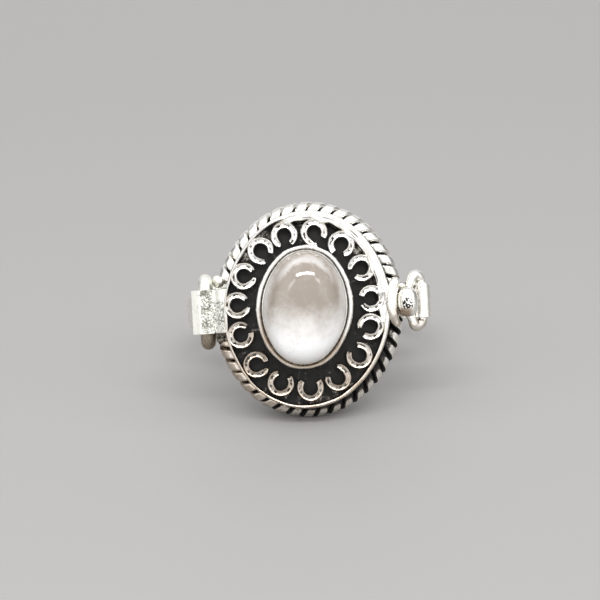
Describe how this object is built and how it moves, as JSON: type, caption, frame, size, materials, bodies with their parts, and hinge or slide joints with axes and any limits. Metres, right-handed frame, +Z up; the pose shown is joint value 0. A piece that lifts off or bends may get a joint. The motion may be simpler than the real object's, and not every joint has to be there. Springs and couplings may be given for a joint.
{
  "type": "silver locket ring",
  "caption": "Silver ring with an oval hinged box, a cabochon in a plain bezel on a scroll-work lid, a twisted wire border and a link catch.",
  "frame": {"origin": "centre of the finger hole, on its axis, half way across the band; the ring lies on its side as it rests", "axes": "+Y from the stone to the back of the band, +Z up as it lies, +X from the hinge to the catch; the finger hole's axis leans 18.1 degrees back from +Z and 1.2 degrees towards the hinge"},
  "size_m": [0.0204, 0.0269, 0.0162],
  "materials": {
    "polished_silver": "polished silver with fine scratches and a little pitting",
    "oxidised_silver": "raised metal polished bright, recesses blackened",
    "rose_quartz": "polished, pale pink and milky"
  },
  "bodies": {
    "base": {"ring_base": "polished_silver", "rope_border": "oxidised_silver"},
    "lid": {"lid": "oxidised_silver", "stone": "rose_quartz"},
    "catch": {"catch_loop": "polished_silver"}
  },
  "joints": [
    {"name": "lid_hinge", "type": "hinge", "parent": "base", "child": "lid", "pos_m": [-0.00793, -0.01241, 0.00387], "axis": [0.0209, -0.3101, -0.9505], "range_deg": [0, 110]},
    {"name": "catch_hinge", "type": "hinge", "parent": "base", "child": "catch", "pos_m": [0.0091, -0.0122, 0.00418], "axis": [-0.0209, 0.3101, 0.9505], "range_deg": [0, 110]}
  ]
}
